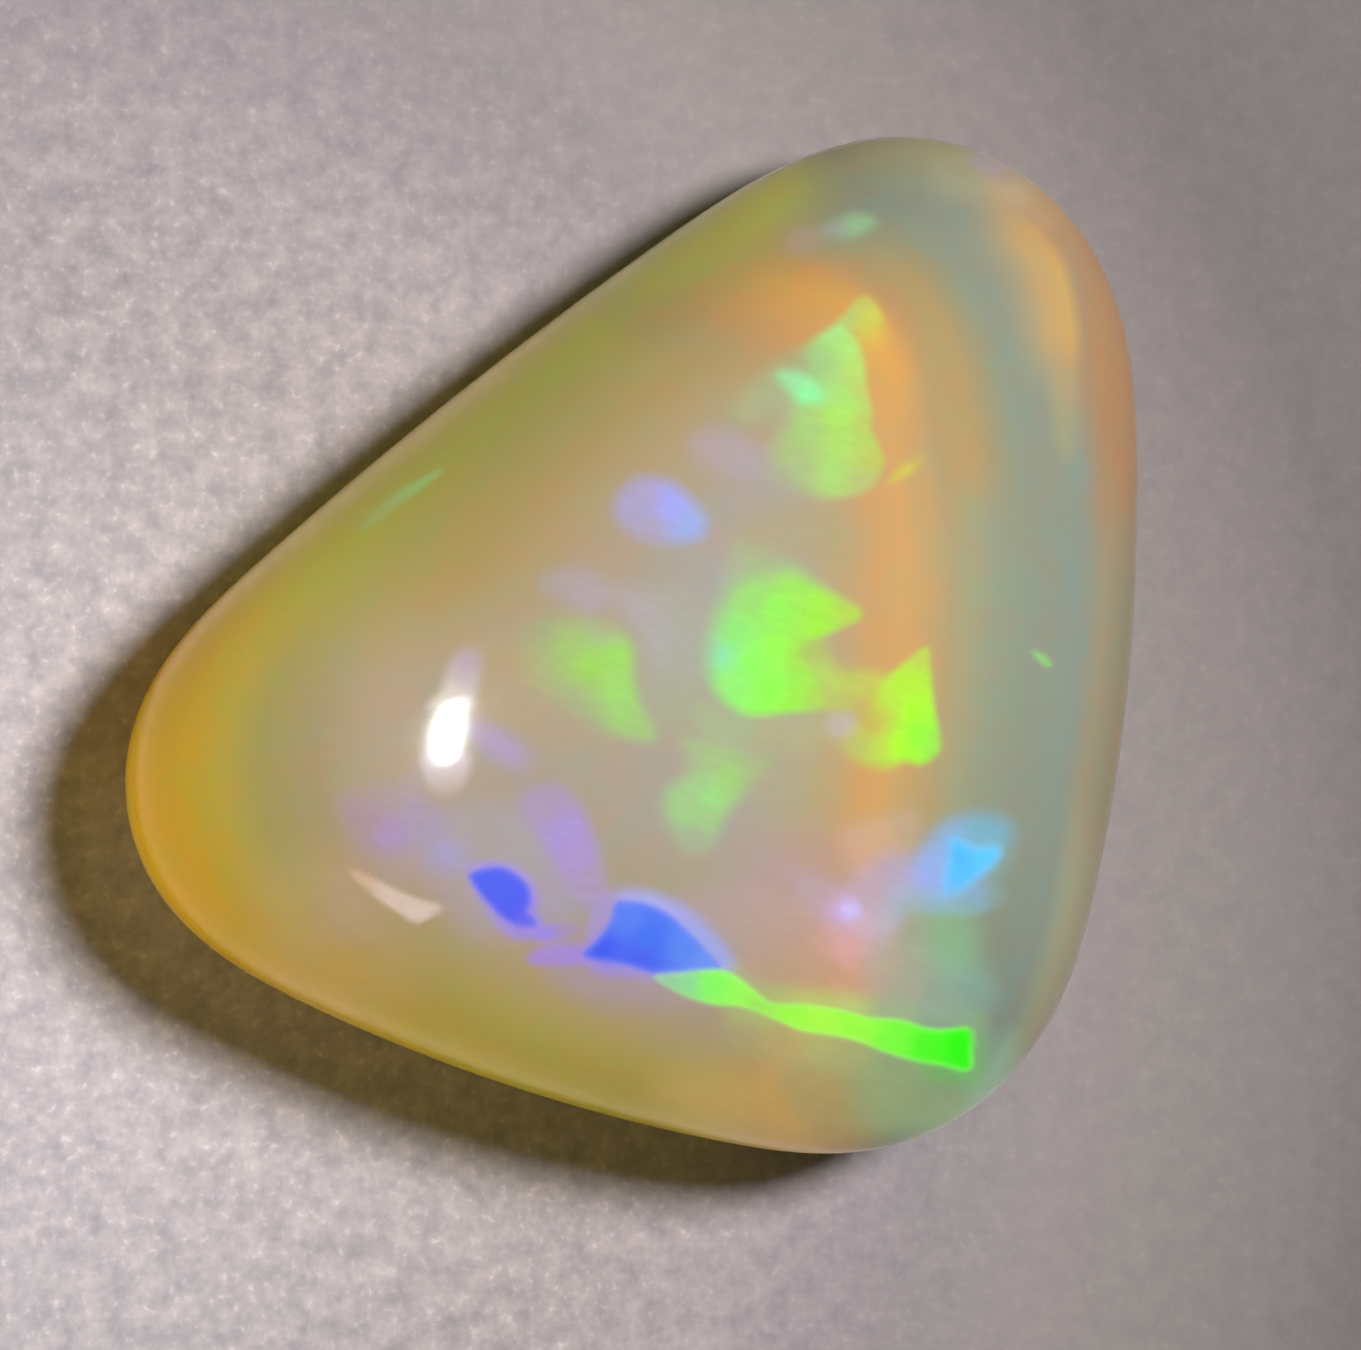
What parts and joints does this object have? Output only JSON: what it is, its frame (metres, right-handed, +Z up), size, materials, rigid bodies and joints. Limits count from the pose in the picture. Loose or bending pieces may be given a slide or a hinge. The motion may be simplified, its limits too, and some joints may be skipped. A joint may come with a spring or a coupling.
{
  "type": "opal cabochon",
  "caption": "Polished precious opal cabochon with a rounded-triangle outline, a smooth dome, a low girdle and a flat base.",
  "frame": {"origin": "under the middle of the stone's box, on the plane of its flat base", "axes": "+Z up through the dome, +X away from the outline's narrow corner, +Y along the flatter side towards the corner behind"},
  "size_m": [0.0124, 0.0122, 0.0058],
  "materials": {
    "polished_opal": "polished"
  },
  "bodies": {
    "root": {"opal": "polished_opal"}
  },
  "joints": []
}
